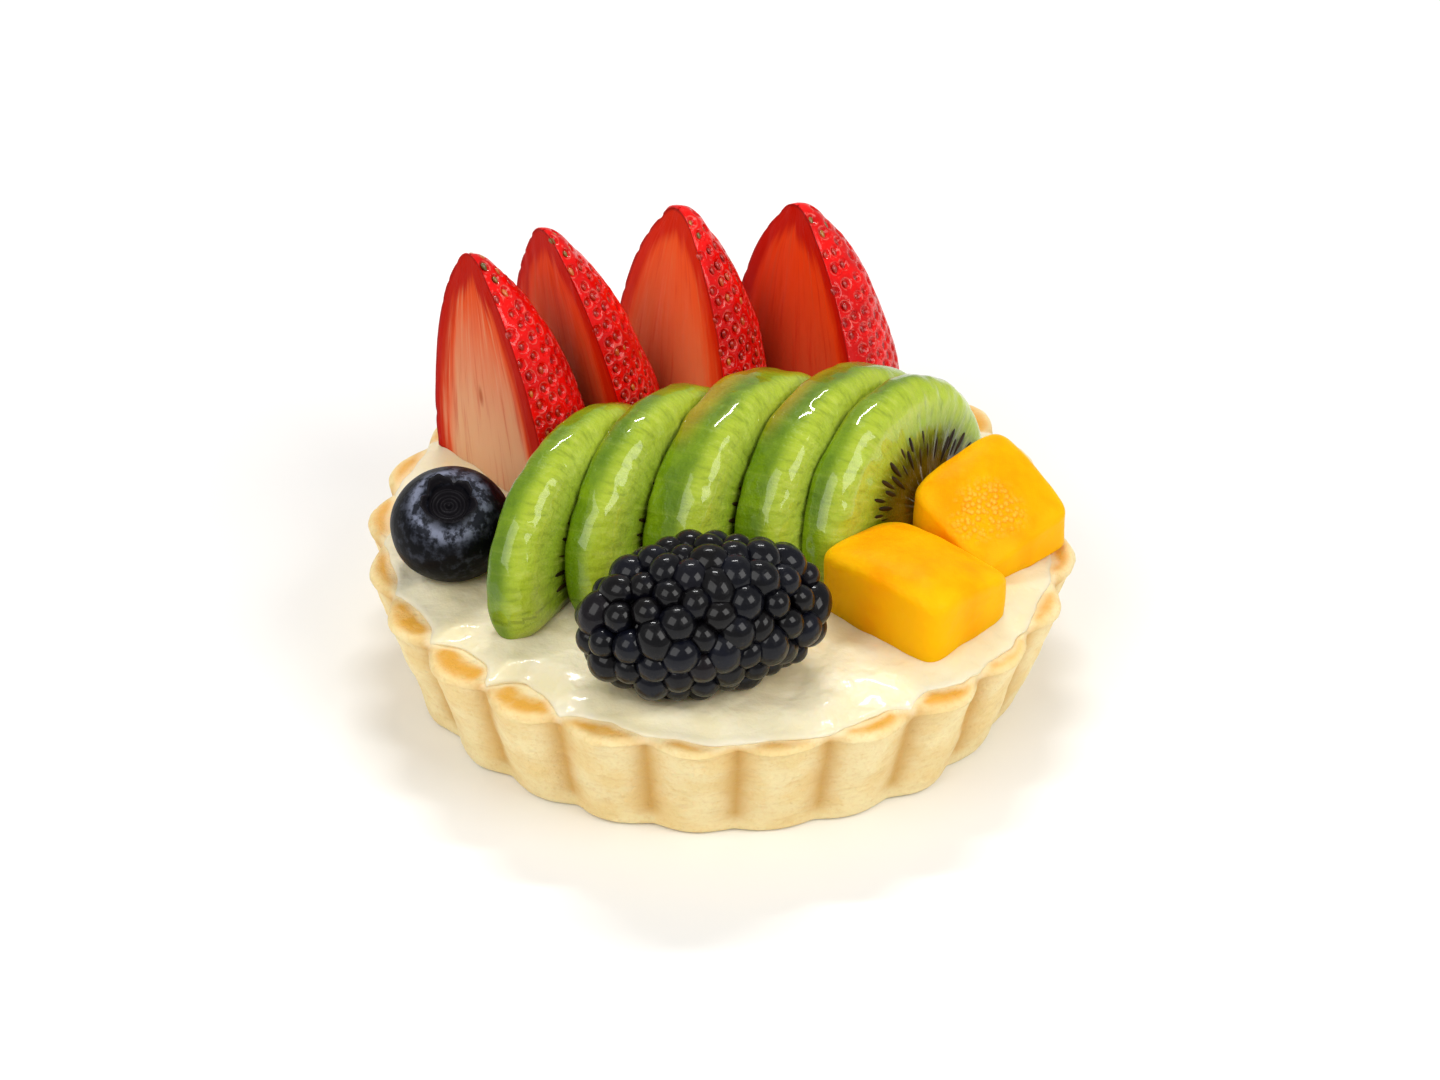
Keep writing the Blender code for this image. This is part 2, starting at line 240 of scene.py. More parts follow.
def points_of(piece):
    """The piece's points."""
    values = np.zeros(len(piece.data.vertices) * 3, np.float32)
    piece.data.vertices.foreach_get("co", values)
    return values.reshape(-1, 3).astype(float)


def set_points(piece, points):
    """Move the piece's points."""
    piece.data.vertices.foreach_set("co", np.asarray(points, np.float32).ravel())
    piece.data.update()


def push_out(piece, distance):
    """Move each point along its normal."""
    set_points(piece, points_of(piece) + normals_of(piece) * np.asarray(distance)[:, None])


def paint(piece, name, values):
    """Store one number at each point, for the materials."""
    attribute = piece.data.attributes.new(name, "FLOAT", "POINT")
    attribute.data.foreach_set("value", np.asarray(values, np.float32).ravel())


def settle(points, node):
    """Shift points so that their box is centred on the node's box."""
    low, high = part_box(node)
    middle = np.array((low + high) / 2.0)
    return points + middle - (points.min(axis=0) + points.max(axis=0)) / 2.0


def attach(piece, node=None):
    """Ride on the tart and stand for a node."""
    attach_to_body(piece, "root")
    if node:
        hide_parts(node)


# ---------------------------------------------------------------- material helpers

def srgb(red, green, blue):
    """A linear colour from the usual 0 to 255 values."""
    def linear(value):
        share = value / 255.0
        return share / 12.92 if share <= 0.04045 else ((share + 0.055) / 1.055) ** 2.4
    return (linear(red), linear(green), linear(blue), 1.0)


class Finish:
    """A Principled material and short ways to add nodes to it."""

    def __init__(self, name, **fixed):
        self.material = bpy.data.materials.new(name)
        self.material.use_nodes = True
        self.tree = self.material.node_tree
        self.shader = self.tree.nodes["Principled BSDF"]
        for socket, value in fixed.items():
            self.shader.inputs[socket.replace("_", " ")].default_value = value

    def add(self, kind, inputs=None, **settings):
        made = self.tree.nodes.new(kind)
        for name, value in settings.items():
            setattr(made, name, value)
        for name, value in (inputs or {}).items():
            self.put(made.inputs[name], value)
        return made

    def put(self, socket, value):
        if isinstance(value, bpy.types.NodeSocket):
            self.tree.links.new(value, socket)
        else:
            socket.default_value = value

    def shade(self, socket, value):
        self.put(self.shader.inputs[socket], value)

    def number(self, name):
        return self.add("ShaderNodeAttribute", attribute_name=name).outputs["Fac"]

    def place(self):
        return self.add("ShaderNodeTexCoord").outputs["Object"]

    def vector(self, x, y, z=0.0):
        return self.add("ShaderNodeCombineXYZ", {"X": x, "Y": y, "Z": z}).outputs["Vector"]

    def speckle(self, vector, size, detail=2.0, roughness=0.5):
        inputs = {"Vector": vector, "Scale": 1.0 / size, "Detail": detail, "Roughness": roughness}
        return self.add("ShaderNodeTexNoise", inputs).outputs["Fac"]

    def cells(self, vector, size, randomness=1.0):
        inputs = {"Vector": vector, "Scale": 1.0 / size, "Randomness": randomness}
        return self.add("ShaderNodeTexVoronoi", inputs).outputs["Distance"]

    def math(self, operation, first, second=0.0):
        return self.add("ShaderNodeMath", {0: first, 1: second}, operation=operation).outputs[0]

    def span(self, value, low, high, to_low=0.0, to_high=1.0):
        inputs = {"Value": value, "From Min": low, "From Max": high, "To Min": to_low, "To Max": to_high}
        return self.add("ShaderNodeMapRange", inputs, interpolation_type="SMOOTHSTEP").outputs["Result"]

    def mix(self, factor, first, second):
        made = self.add("ShaderNodeMix", data_type="RGBA")
        self.put(made.inputs[0], factor)
        self.put(made.inputs[6], first)
        self.put(made.inputs[7], second)
        return made.outputs[2]

    def ramp(self, factor, stops):
        made = self.add("ShaderNodeValToRGB", {"Fac": factor})
        elements = made.color_ramp.elements
        while len(elements) < len(stops):
            elements.new(0.5)
        for element, (position, colour) in zip(elements, stops):
            element.position = position
            element.color = colour
        return made.outputs["Color"]

    def bump(self, height, depth, under=None):
        inputs = {"Height": height, "Strength": 1.0, "Distance": depth}
        if under is not None:
            inputs["Normal"] = under
        return self.add("ShaderNodeBump", inputs).outputs["Normal"]


# ---------------------------------------------------------------- pastry case

def around(angle, radius, height):
    """Points at angles from the front."""
    angle, radius, height = np.broadcast_arrays(angle, radius, height)
    return np.stack([radius * np.sin(angle), -radius * np.cos(angle), height], axis=-1)


def flute_share(angle):
    """Zero in a crease and one on the crest of a flute, with softened creases."""
    wave = np.sin(0.5 * FLUTES * (angle - FLUTE_START))
    soft = CREASE_SOFTNESS
    return (np.sqrt(wave ** 2 + soft ** 2) - soft) / (math.sqrt(1.0 + soft ** 2) - soft)


def outer_radius(angle, height):
    """Outside radius of the fluted wall."""
    share = height / CRUST_HEIGHT
    depth = BASE_FLUTE + (RIM_FLUTE - BASE_FLUTE) * share
    uneven = 0.8 + 0.3 * noise(around(angle, RIM_RADIUS, 0.0 * angle), 0.010, 5)
    return BASE_RADIUS + (RIM_RADIUS - BASE_RADIUS) * share + depth * flute_share(angle) * (0.25 + uneven)


def rim_lift(angle):
    """How much the rim stands above or below its usual height."""
    return 0.00028 * noise(around(angle, RIM_RADIUS, 0.0 * angle), 0.009, 11)


def rim_height(angle, radius):
    """Height of the rim's rounded top."""
    inside = np.clip(outer_radius(angle, CRUST_HEIGHT) - radius, 0.0, RIM_ROUND)
    drop = RIM_ROUND - np.sqrt(np.maximum(RIM_ROUND ** 2 - (RIM_ROUND - inside) ** 2, 0.0))
    return CRUST_HEIGHT + rim_lift(angle) - drop


def crust_grid(angle):
    """Rings of points from the underside up the wall, over the rim and down inside."""
    rings = []
    for share in (0.35, 0.7, 0.93):
        rings.append(around(angle, share * BASE_RADIUS, 0.0))
    for turn in np.linspace(0.0, 0.5 * math.pi, 8):
        height = BASE_ROUND * (1.0 - math.cos(turn))
        rings.append(around(angle, outer_radius(angle, height) - BASE_ROUND * (1.0 - math.sin(turn)), height))
    for height in np.linspace(BASE_ROUND, CRUST_HEIGHT - RIM_ROUND, 66)[1:]:
        share = height / (CRUST_HEIGHT - RIM_ROUND)
        rings.append(around(angle, outer_radius(angle, height), height + share * rim_lift(angle)))
    top = outer_radius(angle, CRUST_HEIGHT)
    for turn in np.linspace(0.0, 0.5 * math.pi, 9)[1:]:
        height = CRUST_HEIGHT - RIM_ROUND * (1.0 - math.sin(turn)) + rim_lift(angle)
        rings.append(around(angle, top - RIM_ROUND * (1.0 - math.cos(turn)), height))
    for share in np.linspace(0.0, 1.0, 14)[1:]:
        radius = (1.0 - share) * (top - RIM_ROUND) + share * (INNER_RIM_RADIUS + INNER_ROUND)
        rings.append(around(angle, radius, CRUST_HEIGHT + rim_lift(angle)))
    rings.append(around(angle, INNER_RIM_RADIUS, CRUST_HEIGHT - INNER_ROUND))
    rings.append(around(angle, INNER_BASE_RADIUS, FLOOR_THICKNESS))
    return np.array(rings)


def build_crust():
    """Fluted shortcrust case with an uneven, slightly cracked surface."""
    columns = FLUTES * FLUTE_STEPS
    angle = FLUTE_START + 2.0 * math.pi * np.arange(columns) / columns
    grid = crust_grid(angle)
    points, faces = closed_skin(grid, (0.0, 0.0, 0.0), (0.0, 0.0, FLOOR_THICKNESS))
    crust = make_mesh("crust_baked", points, faces)
    radius = np.hypot(points[:, 0], points[:, 1])
    bearing = np.arctan2(points[:, 0], -points[:, 1])
    flat = np.stack([bearing * RIM_RADIUS / 3.0, points[:, 2] * 1.4, radius * 0.5], axis=-1)
    crack = smooth_step(0.30, 0.80, noise(flat, 0.00065, 31) + 0.4 * noise(flat, 0.00035, 32))
    wall = smooth_step(0.0007, 0.0022, points[:, 2]) * smooth_step(0.0, 0.002, CRUST_HEIGHT + 0.001 - points[:, 2])
    off_base = smooth_step(0.0, 0.0008, points[:, 2])
    relief = 0.00022 * fractal(points, 0.0060, 21, 2) + 0.00009 * fractal(points, 0.0018, 25, 2)
    push_out(crust, off_base * relief - 0.00006 * crack * wall)
    share = flute_share(bearing)
    on_top = smooth_step(CRUST_HEIGHT - 0.0010, CRUST_HEIGHT - 0.0002, points[:, 2])
    lane = (radius - outer_radius(bearing, CRUST_HEIGHT) + 0.0026) / 0.0018
    patch = on_top * np.exp(-lane ** 4) * smooth_step(0.30, 0.62, share + 0.15 * fractal(points, 0.003, 41, 2))
    beyond = radius - cream_reach(bearing) - 0.0003 * noise(points, 0.0015, 42)
    paint(crust, "toasted", patch)
    paint(crust, "smeared", on_top * smooth_step(0.0012, 0.0001, beyond))
    # crease: where the painted shade in the flutes' creases goes
    paint(crust, "crease", (1.0 - share) * smooth_step(0.0, 0.004, points[:, 2]))
    paint(crust, "crack", crack * wall)
    crust.data.materials.append(crust_material())
    attach(crust, "crust")


def crust_material():
    """Pale shortcrust, golden on top of the rim, with a fine sandy grain and painted shade in the flutes' creases."""
    finish = Finish("shortcrust", Roughness=0.62, Subsurface_Weight=0.12, Subsurface_Scale=0.002)
    place = finish.place()
    mottle = finish.speckle(place, 0.0045, 3.0)
    grain = finish.speckle(place, 0.0006, 4.0, 0.65)
    base = finish.mix(finish.span(mottle, 0.35, 0.65), srgb(246, 228, 174), srgb(240, 214, 150))
    base = finish.mix(finish.span(grain, 0.45, 0.75, 0.0, 0.35), base, srgb(224, 184, 112))
    # painted shade: darker golden in the flutes' creases
    crease = finish.math("POWER", finish.number("crease"), 2.0)
    base = finish.mix(finish.math("MULTIPLY", crease, 0.85), base, srgb(204, 152, 62))
    toast_spots = finish.span(finish.speckle(place, 0.0018, 3.0), 0.25, 0.55, 0.75, 1.0)
    toasted = finish.math("MULTIPLY", finish.number("toasted"), toast_spots)
    base = finish.mix(toasted, base, srgb(226, 164, 48))
    base = finish.mix(finish.math("MULTIPLY", finish.number("crack"), 0.15), base, srgb(200, 152, 84))
    base = finish.mix(finish.math("MULTIPLY", finish.number("smeared"), 0.65), base, srgb(248, 232, 190))
    finish.shade("Base Color", base)
    pits = finish.cells(place, 0.0011)
    soft = finish.bump(grain, 0.00022)
    finish.shade("Normal", finish.bump(finish.span(pits, 0.0, 0.35), 0.00007, soft))
    return finish.material


# ---------------------------------------------------------------- cream

def cream_reach(angle):
    """How far the cream spreads: back from the flutes' crests and over the creases."""
    to_front = (angle - CREAM_FRONT + math.pi) % (2.0 * math.pi) - math.pi
    reach = CREAM_EDGE + CREAM_FRONT_SPREAD * np.exp(-(to_front / math.radians(34.0)) ** 2)
    for middle, depth, half_width in CREAM_DIPS:
        away = (angle - middle + math.pi) % (2.0 * math.pi) - math.pi
        reach -= depth * np.exp(-(away / half_width) ** 2)
    ring = around(angle, RIM_RADIUS, 0.0 * angle)
    reach += 0.0006 * noise(ring, 0.006, 61) + 0.00035 * noise(ring, 0.0022, 62)
    crease = (1.0 - flute_share(angle)) ** 1.6
    return reach + (RIM_RADIUS - 0.0004 - reach) * crease


def build_cream():
    """Smooth custard cream, thin and rounded where it spreads over the rim."""
    angle = 2.0 * math.pi * np.arange(CREAM_COLUMNS) / CREAM_COLUMNS
    reach = cream_reach(angle)
    rings = [around(angle, 0.033, 0.0130), around(angle, 0.0362, 0.0150), around(angle, reach - 0.0006, 0.0158)]
    depths = np.concatenate([0.005 * np.linspace(0.0, 1.0, 30) ** 1.7, np.linspace(0.0055, 0.034, 56)])
    for depth in depths:
        radius = reach - depth if depth < 0.005 else (reach - 0.005) * (1.0 - (depth - 0.005) / 0.030)
        edge = math.sqrt(1.0 - (1.0 - min(depth / 0.0007, 1.0)) ** 2)
        film = 0.00035 * edge + (CREAM_THICKNESS - 0.00035) * smooth_step(0.0, 0.0045, depth)
        rim = rim_height(angle, radius)
        rim = rim + (CRUST_HEIGHT - rim) * smooth_step(0.002, 0.006, depth)
        ring = around(angle, radius, rim + film)
        swell = smooth_step(0.0, 0.003, depth)
        ripple = 0.00034 * noise(ring, 0.0100, 71) + 0.00030 * noise(ring, 0.0042, 72)
        ring[:, 2] += swell * ripple + 0.00012 * noise(ring, 0.0020, 73)
        rings.append(ring)
    points, faces = closed_skin(np.array(rings), (0.0, 0.0, 0.0130), (0.0, 0.0, CRUST_HEIGHT + CREAM_THICKNESS))
    bubble = np.hypot(points[:, 0] - 0.0152, points[:, 1] + 0.0318)
    points[:, 2] += 0.00016 * np.exp(-((bubble - 0.0009) / 0.00028) ** 2)
    cream = make_mesh("cream_spread", points, faces)
    cream.data.materials.append(cream_material())
    attach(cream, "cream")


def cream_material():
    """Ivory custard cream with a wet sheen."""
    finish = Finish("custard", Roughness=0.38, Subsurface_Weight=0.35, Subsurface_Scale=0.004,
                    Specular_IOR_Level=0.30, Coat_Weight=0.40, Coat_Roughness=0.08)
    finish.shader.inputs["Subsurface Radius"].default_value = (1.0, 0.75, 0.40)
    place = finish.place()
    cloud = finish.speckle(place, 0.010, 2.0)
    base = finish.mix(finish.span(cloud, 0.35, 0.65), srgb(249, 235, 200), srgb(245, 228, 184))
    finish.shade("Base Color", base)
    soft = finish.bump(finish.speckle(place, 0.0040, 2.0), 0.00050)
    finish.shade("Normal", finish.bump(finish.speckle(place, 0.0014, 3.0), 0.00018, soft))
    return finish.material


# ---------------------------------------------------------------- strawberries

def berry_frame(berry):
    """Directions of a strawberry half: out of its cut face, across it and up its length."""
    facing, lean_side, lean_front = berry[:3]
    normal = np.array((-math.sin(facing), -math.cos(facing), 0.0))
    side = np.array((math.cos(facing), -math.sin(facing), 0.0))
    axis = UP + side * lean_side + normal * lean_front
    return normal, side, axis / np.linalg.norm(axis)


def berry_width(share):
    """Width of a strawberry from its rounded tip at zero to its cut base at one."""
    body = (1.0 - (1.0 - share) ** BERRY_FULLNESS) ** BERRY_TIP
    round_end = 0.98 * np.sqrt(np.clip(share, 0.0, 1.0))
    blend = smooth_step(0.0, BERRY_BLUNT, share)
    return round_end + (body - round_end) * blend


def berry_seeds(berry, number):
    """Places of the seeds on the skin, in staggered rows, and the way each one points."""
    length, half_width, depth = berry[3:]
    normal, side, axis = berry_frame(berry)
    dice = np.random.default_rng(700 + number)
    places = []
    rows = int(length / (SEED_PITCH * 0.86))
    for row in range(rows):
        share = (row + 0.45) / rows
        radius = half_width * berry_width(share)
        count = max(2, round(0.5 * math.pi * radius * (1.0 + depth) / SEED_PITCH))
        for step in range(count):
            turn = math.pi * (step + 0.25 + 0.5 * (row % 2)) / count
            turn += dice.uniform(-0.16, 0.16) * SEED_PITCH / radius
            level = share + dice.uniform(-0.12, 0.12) / rows
            if 0.03 < turn < math.pi - 0.03 and level < 0.99:
                places.append((level, turn, dice.uniform(0.8, 1.1), dice.uniform(0.0, 1.0)))
    levels, turns, sizes, tints = np.array(places).T
    radii = half_width * berry_width(levels)
    spots = (axis * (length * (1.0 - levels))[:, None] + side * (radii * np.cos(turns))[:, None]
             - normal * (radii * depth * np.sin(turns))[:, None])
    return spots, sizes, tints, 1.0 - levels


def build_strawberry(number, berry):
    """Half a strawberry: dimpled skin, flat cut face and the seeds' places."""
    length, half_width, depth = berry[3:]
    normal, side, axis = berry_frame(berry)
    steps = np.linspace(0.0, 1.0, BERRY_ROWS, endpoint=False)
    share = (1.0 - steps) ** 1.8
    radius = half_width * berry_width(share)
    turn = np.linspace(0.0, math.pi, BERRY_SKIN_STEPS + 1)
    across = np.linspace(-1.0, 1.0, BERRY_FACE_STEPS + 1)[1:-1]
    sideways = np.concatenate([np.cos(turn), across])
    outward = np.concatenate([np.sin(turn), np.zeros(len(across))])
    middle = axis * (length * (1.0 - share))[:, None]
    grid = (middle[:, None] + side * (radius[:, None] * sideways)[..., None]
            - normal * (radius[:, None] * depth * outward)[..., None])
    grid[0, :, 2] = 0.0
    tip = axis * length - normal * 0.0004
    points, faces = closed_skin(grid, grid[0].mean(axis=0), tip)
    seeds, sizes, tints, heights = berry_seeds(berry, number)
    node = f"strawberry_{number}"
    moved = settle(points, node)
    seeds = seeds + moved[0] - points[0]
    points = moved
    piece = make_mesh(f"strawberry_half_{number}", points, faces)
    columns = len(sideways)
    column = np.arange(BERRY_ROWS * columns) % columns
    is_skin = np.append(column <= BERRY_SKIN_STEPS, [False, True])
    edge = np.append(np.minimum(column, BERRY_SKIN_STEPS - column), [0, BERRY_SKIN_STEPS])
    dimple = np.zeros(len(points))
    swelling = np.zeros(len(points))
    nearest = np.full(len(points), 1.0)
    for seed, size in zip(seeds, sizes):
        away = np.linalg.norm(points - seed, axis=1)
        nearest = np.minimum(nearest, away / size)
        dimple = np.maximum(dimple, np.exp(-(away / (0.00072 * size)) ** 2))
    swelling = smooth_step(0.0007, 0.0013, nearest)
    lumps = 0.00025 * fractal(points, 0.0060, 80 + number, 2)
    on_skin = is_skin * np.clip(edge / 3.0, 0.45, 1.0)
    lip = np.exp(-((nearest - PIT_RADIUS) / (0.30 * PIT_RADIUS)) ** 2)
    fibres = np.stack([points @ side, points @ axis * 0.12, points @ normal], axis=-1)
    face_relief = 0.00010 * noise(fibres, 0.0011, 90 + number) * (~is_skin)
    push_out(piece, on_skin * (lumps + 0.00008 * swelling + 0.00010 * lip - 0.00042 * dimple) + face_relief)
    across_all = np.append(np.tile(sideways, BERRY_ROWS), [0.0, 0.0])
    along_all = np.append(np.repeat(1.0 - share, columns), [0.0, 1.0])
    paint(piece, "across", across_all)
    paint(piece, "along", along_all)
    paint(piece, "seed_away", np.minimum(nearest / PIT_RADIUS, 4.0))
    paint(piece, "inset", face_inset(points, columns) * 1000.0)
    piece.data.materials.append(berry_skin_material(number))
    piece.data.materials.append(berry_flesh_material(number))
    flags = is_skin[:BERRY_ROWS * columns].reshape(BERRY_ROWS, columns)
    face_is_skin = flags[:-1] & np.roll(flags, -1, axis=1)[:-1]
    kinds = np.where(face_is_skin, 0, 1).ravel().tolist() + [1] * columns
    kinds += np.where(flags[-1] & np.roll(flags[-1], -1), 0, 1).tolist()
    piece.data.polygons.foreach_set("material_index", kinds)
    attach(piece, node)
    return seeds, sizes, tints, heights, points, normals_of(piece), axis


def face_inset(points, columns):
    """Distance from the cut face's outline, for every point of a strawberry half."""
    rows = points[:BERRY_ROWS * columns].reshape(BERRY_ROWS, columns, 3)
    outline = rows[:, [0, BERRY_SKIN_STEPS]].reshape(-1, 3)
    face = rows[:, BERRY_SKIN_STEPS + 1:]
    inset = np.zeros((BERRY_ROWS, columns))
    for row in range(BERRY_ROWS):
        away = np.linalg.norm(face[row][:, None] - outline[None], axis=2)
        inset[row, BERRY_SKIN_STEPS + 1:] = away.min(axis=1)
    return np.append(inset, [0.0, 0.0])


def drop_shape(steps=8, rings=6):
    """A small seed shape, round at one end and drawn to a point at the other, one unit long."""
    rows = []
    for ring in range(1, rings):
        turn = math.pi * ring / rings
        reach = 0.5 * math.sin(turn) * (1.0 - 0.35 * math.cos(turn))
        angle = 2.0 * math.pi * np.arange(steps) / steps
        rows.append(np.stack([reach * np.cos(angle), reach * np.sin(angle),
                              np.full(steps, -0.5 * math.cos(turn))], axis=-1))
    return closed_skin(np.array(rows), (0.0, 0.0, -0.5), (0.0, 0.0, 0.5))


def scatter(name, items, material):
    """One piece made of many seeds: each has a place, axes as columns and a tint."""
    shape, faces = drop_shape()
    all_points, all_faces, all_tints = [], [], []
    for place, axes, tint in items:
        start = len(all_points) * len(shape)
        all_points.append(shape @ axes.T + place)
        all_faces += [tuple(index + start for index in face) for face in faces]
        all_tints.append(np.full(len(shape), tint))
    piece = make_mesh(name, np.concatenate(all_points), all_faces)
    paint(piece, "tint", np.concatenate(all_tints))
    piece.data.materials.append(material)
    attach(piece)


def build_strawberries():
    """Four halves and the seeds of all of them."""
    items = []
    for index, berry in enumerate(STRAWBERRIES):
        seeds, sizes, tints, heights, points, normals, axis = build_strawberry(index + 1, berry)
        for seed, size, tint, height in zip(seeds, sizes, tints, heights):
            nearest = int(np.argmin(np.linalg.norm(points - seed, axis=1)))
            out = normals[nearest]
            along = axis - out * (axis @ out)
            along /= np.linalg.norm(along)
            wide = np.cross(out, along)
            axes = np.stack([wide * 0.00066 * size, out * 0.00050 * size, along * 0.00115 * size], axis=-1)
            shade = 0.60 + 0.40 * tint if height > 0.88 else 0.66 * tint
            items.append((seed - out * 0.00034, axes, shade))
    scatter("strawberry_seeds", items, berry_seed_material())


def berry_skin_material(number):
    """Crimson skin, darker red in each seed's pit, with painted highlights: a pale pink wet shine on the lip round each
    pit and fine pale glints.
    """
    finish = Finish(f"strawberry_skin_{number}", Roughness=0.34, Subsurface_Weight=0.15, Subsurface_Scale=0.002,
                    Specular_IOR_Level=0.08, Coat_Weight=0.42, Coat_Roughness=0.04)
    finish.shader.inputs["Subsurface Radius"].default_value = (1.0, 0.12, 0.06)
    place = finish.place()
    cloud = finish.speckle(place, 0.006, 3.0)
    base = finish.mix(finish.span(cloud, 0.35, 0.65), srgb(244, 8, 4), srgb(208, 2, 2))
    away = finish.number("seed_away")
    base = finish.mix(finish.span(away, 0.80, 0.30), base, srgb(172, 4, 8))
    # lip: ring round each pit, raised by the bump and painted pale pink as a highlight
    lip = finish.math("MULTIPLY", finish.span(away, 0.80, 0.95), finish.span(away, 1.18, 1.02))
    broken = finish.span(finish.speckle(place, 0.0010, 2.0), 0.46, 0.58, 0.0, 0.85)
    base = finish.mix(finish.math("MULTIPLY", lip, broken), base, srgb(244, 88, 78))
    # painted highlight: fine pale glints over the skin
    glints = finish.span(finish.speckle(place, 0.00055, 2.0), 0.60, 0.70, 0.0, 0.50)
    base = finish.mix(glints, base, srgb(244, 112, 104))
    finish.shade("Base Color", base)
    soft = finish.bump(finish.speckle(place, 0.0008, 2.0), 0.00008)
    finish.shade("Normal", finish.bump(lip, 0.00010, soft))
    return finish.material


# Colours of each cut face: at the skin, inside it and in the lower middle
FLESH = (
    (srgb(184, 20, 0), srgb(226, 76, 24), srgb(224, 168, 126)),
    (srgb(196, 22, 0), srgb(234, 70, 18), srgb(214, 100, 54)),
    (srgb(216, 40, 6), srgb(246, 92, 34), srgb(234, 132, 82)),
    (srgb(200, 24, 4), srgb(240, 68, 14), srgb(212, 80, 44)),
)
# Hollow in the middle of the first half: across, along, half width and half length as shares
FLESH_HOLLOW = (-0.10, 0.38, 0.055, 0.055)


def berry_flesh_material(number):
    """Cut face: red under the skin, paler and streaked lengthwise towards the middle."""
    rim, flesh, core = FLESH[number - 1]
    finish = Finish(f"strawberry_flesh_{number}", Roughness=0.55, Subsurface_Weight=0.20,
                    Subsurface_Scale=0.003, Specular_IOR_Level=0.05)
    finish.shader.inputs["Subsurface Radius"].default_value = (1.0, 0.25, 0.10)
    across = finish.number("across")
    along = finish.number("along")
    streaks = finish.speckle(finish.vector(across, finish.math("MULTIPLY", along, 0.14), number), 0.075, 4.0, 0.6)
    drift = finish.speckle(finish.vector(across, finish.math("MULTIPLY", along, 0.30), 4.0 + number), 0.24, 2.0)
    tip_share = finish.span(along, 0.70, 0.98, 0.0, 1.5)
    inset = finish.math("SUBTRACT", finish.number("inset"), tip_share)
    inset = finish.math("ADD", inset, finish.span(drift, 0.25, 0.75, -0.9, 0.9))
    colour = finish.mix(finish.span(inset, 0.9, 3.1), rim, flesh)
    low_down = finish.span(along, 0.10, 0.90, 1.0, 0.05)
    core_share = finish.math("MULTIPLY", finish.span(inset, 1.8, 5.0), low_down)
    colour = finish.mix(core_share, colour, core)
    within = finish.span(inset, 0.8, 2.6)
    pale = finish.math("MULTIPLY", finish.span(streaks, 0.50, 0.72, 0.0, 0.45), within)
    colour = finish.mix(pale, colour, core)
    dark = finish.math("MULTIPLY", finish.span(streaks, 0.48, 0.28, 0.0, 0.40), within)
    colour = finish.mix(dark, colour, rim)
    edge = finish.span(finish.number("inset"), 0.55, 0.05, 0.0, 0.8)
    colour = finish.mix(edge, colour, srgb(150, 8, 6))
    if number == 1:
        colour = flesh_hollow(finish, across, along, colour)
    finish.shade("Base Color", colour)
    finish.shade("Normal", finish.bump(streaks, 0.00010))
    return finish.material


def flesh_hollow(finish, across, along, colour):
    """Brownish slit in the middle of the face."""
    middle, level, half_width, half_length = FLESH_HOLLOW
    sideways = finish.math("DIVIDE", finish.math("SUBTRACT", across, middle), half_width)
    lengthwise = finish.math("DIVIDE", finish.math("SUBTRACT", along, level), half_length)
    away = finish.add("ShaderNodeVectorMath", {0: finish.vector(sideways, lengthwise)}, operation="LENGTH")
    return finish.mix(finish.span(away.outputs["Value"], 1.1, 0.2, 0.0, 0.7), colour, srgb(168, 66, 26))


def berry_seed_material():
    """Strawberry seeds from dark red to straw yellow."""
    finish = Finish("strawberry_seed", Roughness=0.3, Coat_Weight=0.6)
    stops = ((0.0, srgb(158, 10, 8)), (0.50, srgb(190, 44, 20)), (0.66, srgb(206, 110, 40)),
             (0.85, srgb(150, 110, 30)), (1.0, srgb(96, 84, 30)))
    finish.shade("Base Color", finish.ramp(finish.number("tint"), stops))
    return finish.material


# ---------------------------------------------------------------- kiwi

def kiwi_frame(cut):
    """Directions of a leaning slice: along its foot, out of its face and up its face."""
    turn, lean = cut[:2]
    chord = np.array((math.cos(turn), math.sin(turn), 0.0))
    level = np.array((math.sin(turn), -math.cos(turn), 0.0))
    facing = level * math.cos(lean) + UP * math.sin(lean)
    rise = UP * math.cos(lean) - level * math.sin(lean)
    return chord, facing, rise


def kiwi_outline(cut, depth, inset, columns):
    """One ring of a slice: the arc and the foot, and how far round the fruit each point is."""
    chord, facing, rise = kiwi_frame(cut)
    rear_width, rear_trim = cut[3:]
    centre = UP * KIWI_MIDDLE + facing * depth
    height = KIWI_HEIGHT - inset
    below = math.asin((centre[2] - KIWI_FLOOR) / (height * rise[2]))
    arc_columns = columns * 3 // 4
    angle = np.linspace(-below, math.pi + below, arc_columns)
    across = np.cos(angle)
    rear = np.minimum((rear_width - inset) * across, rear_trim - inset)
    along = np.where(across > 0.0, rear, (KIWI_HALF_WIDTH - inset) * across)
    arc = centre + chord * along[:, None] + rise * (height * np.sin(angle))[:, None]
    share = np.linspace(0.0, 1.0, columns - arc_columns + 2)[1:-1]
    foot = arc[-1] * (1.0 - share)[:, None] + arc[0] * share[:, None]
    return np.concatenate([arc, foot])


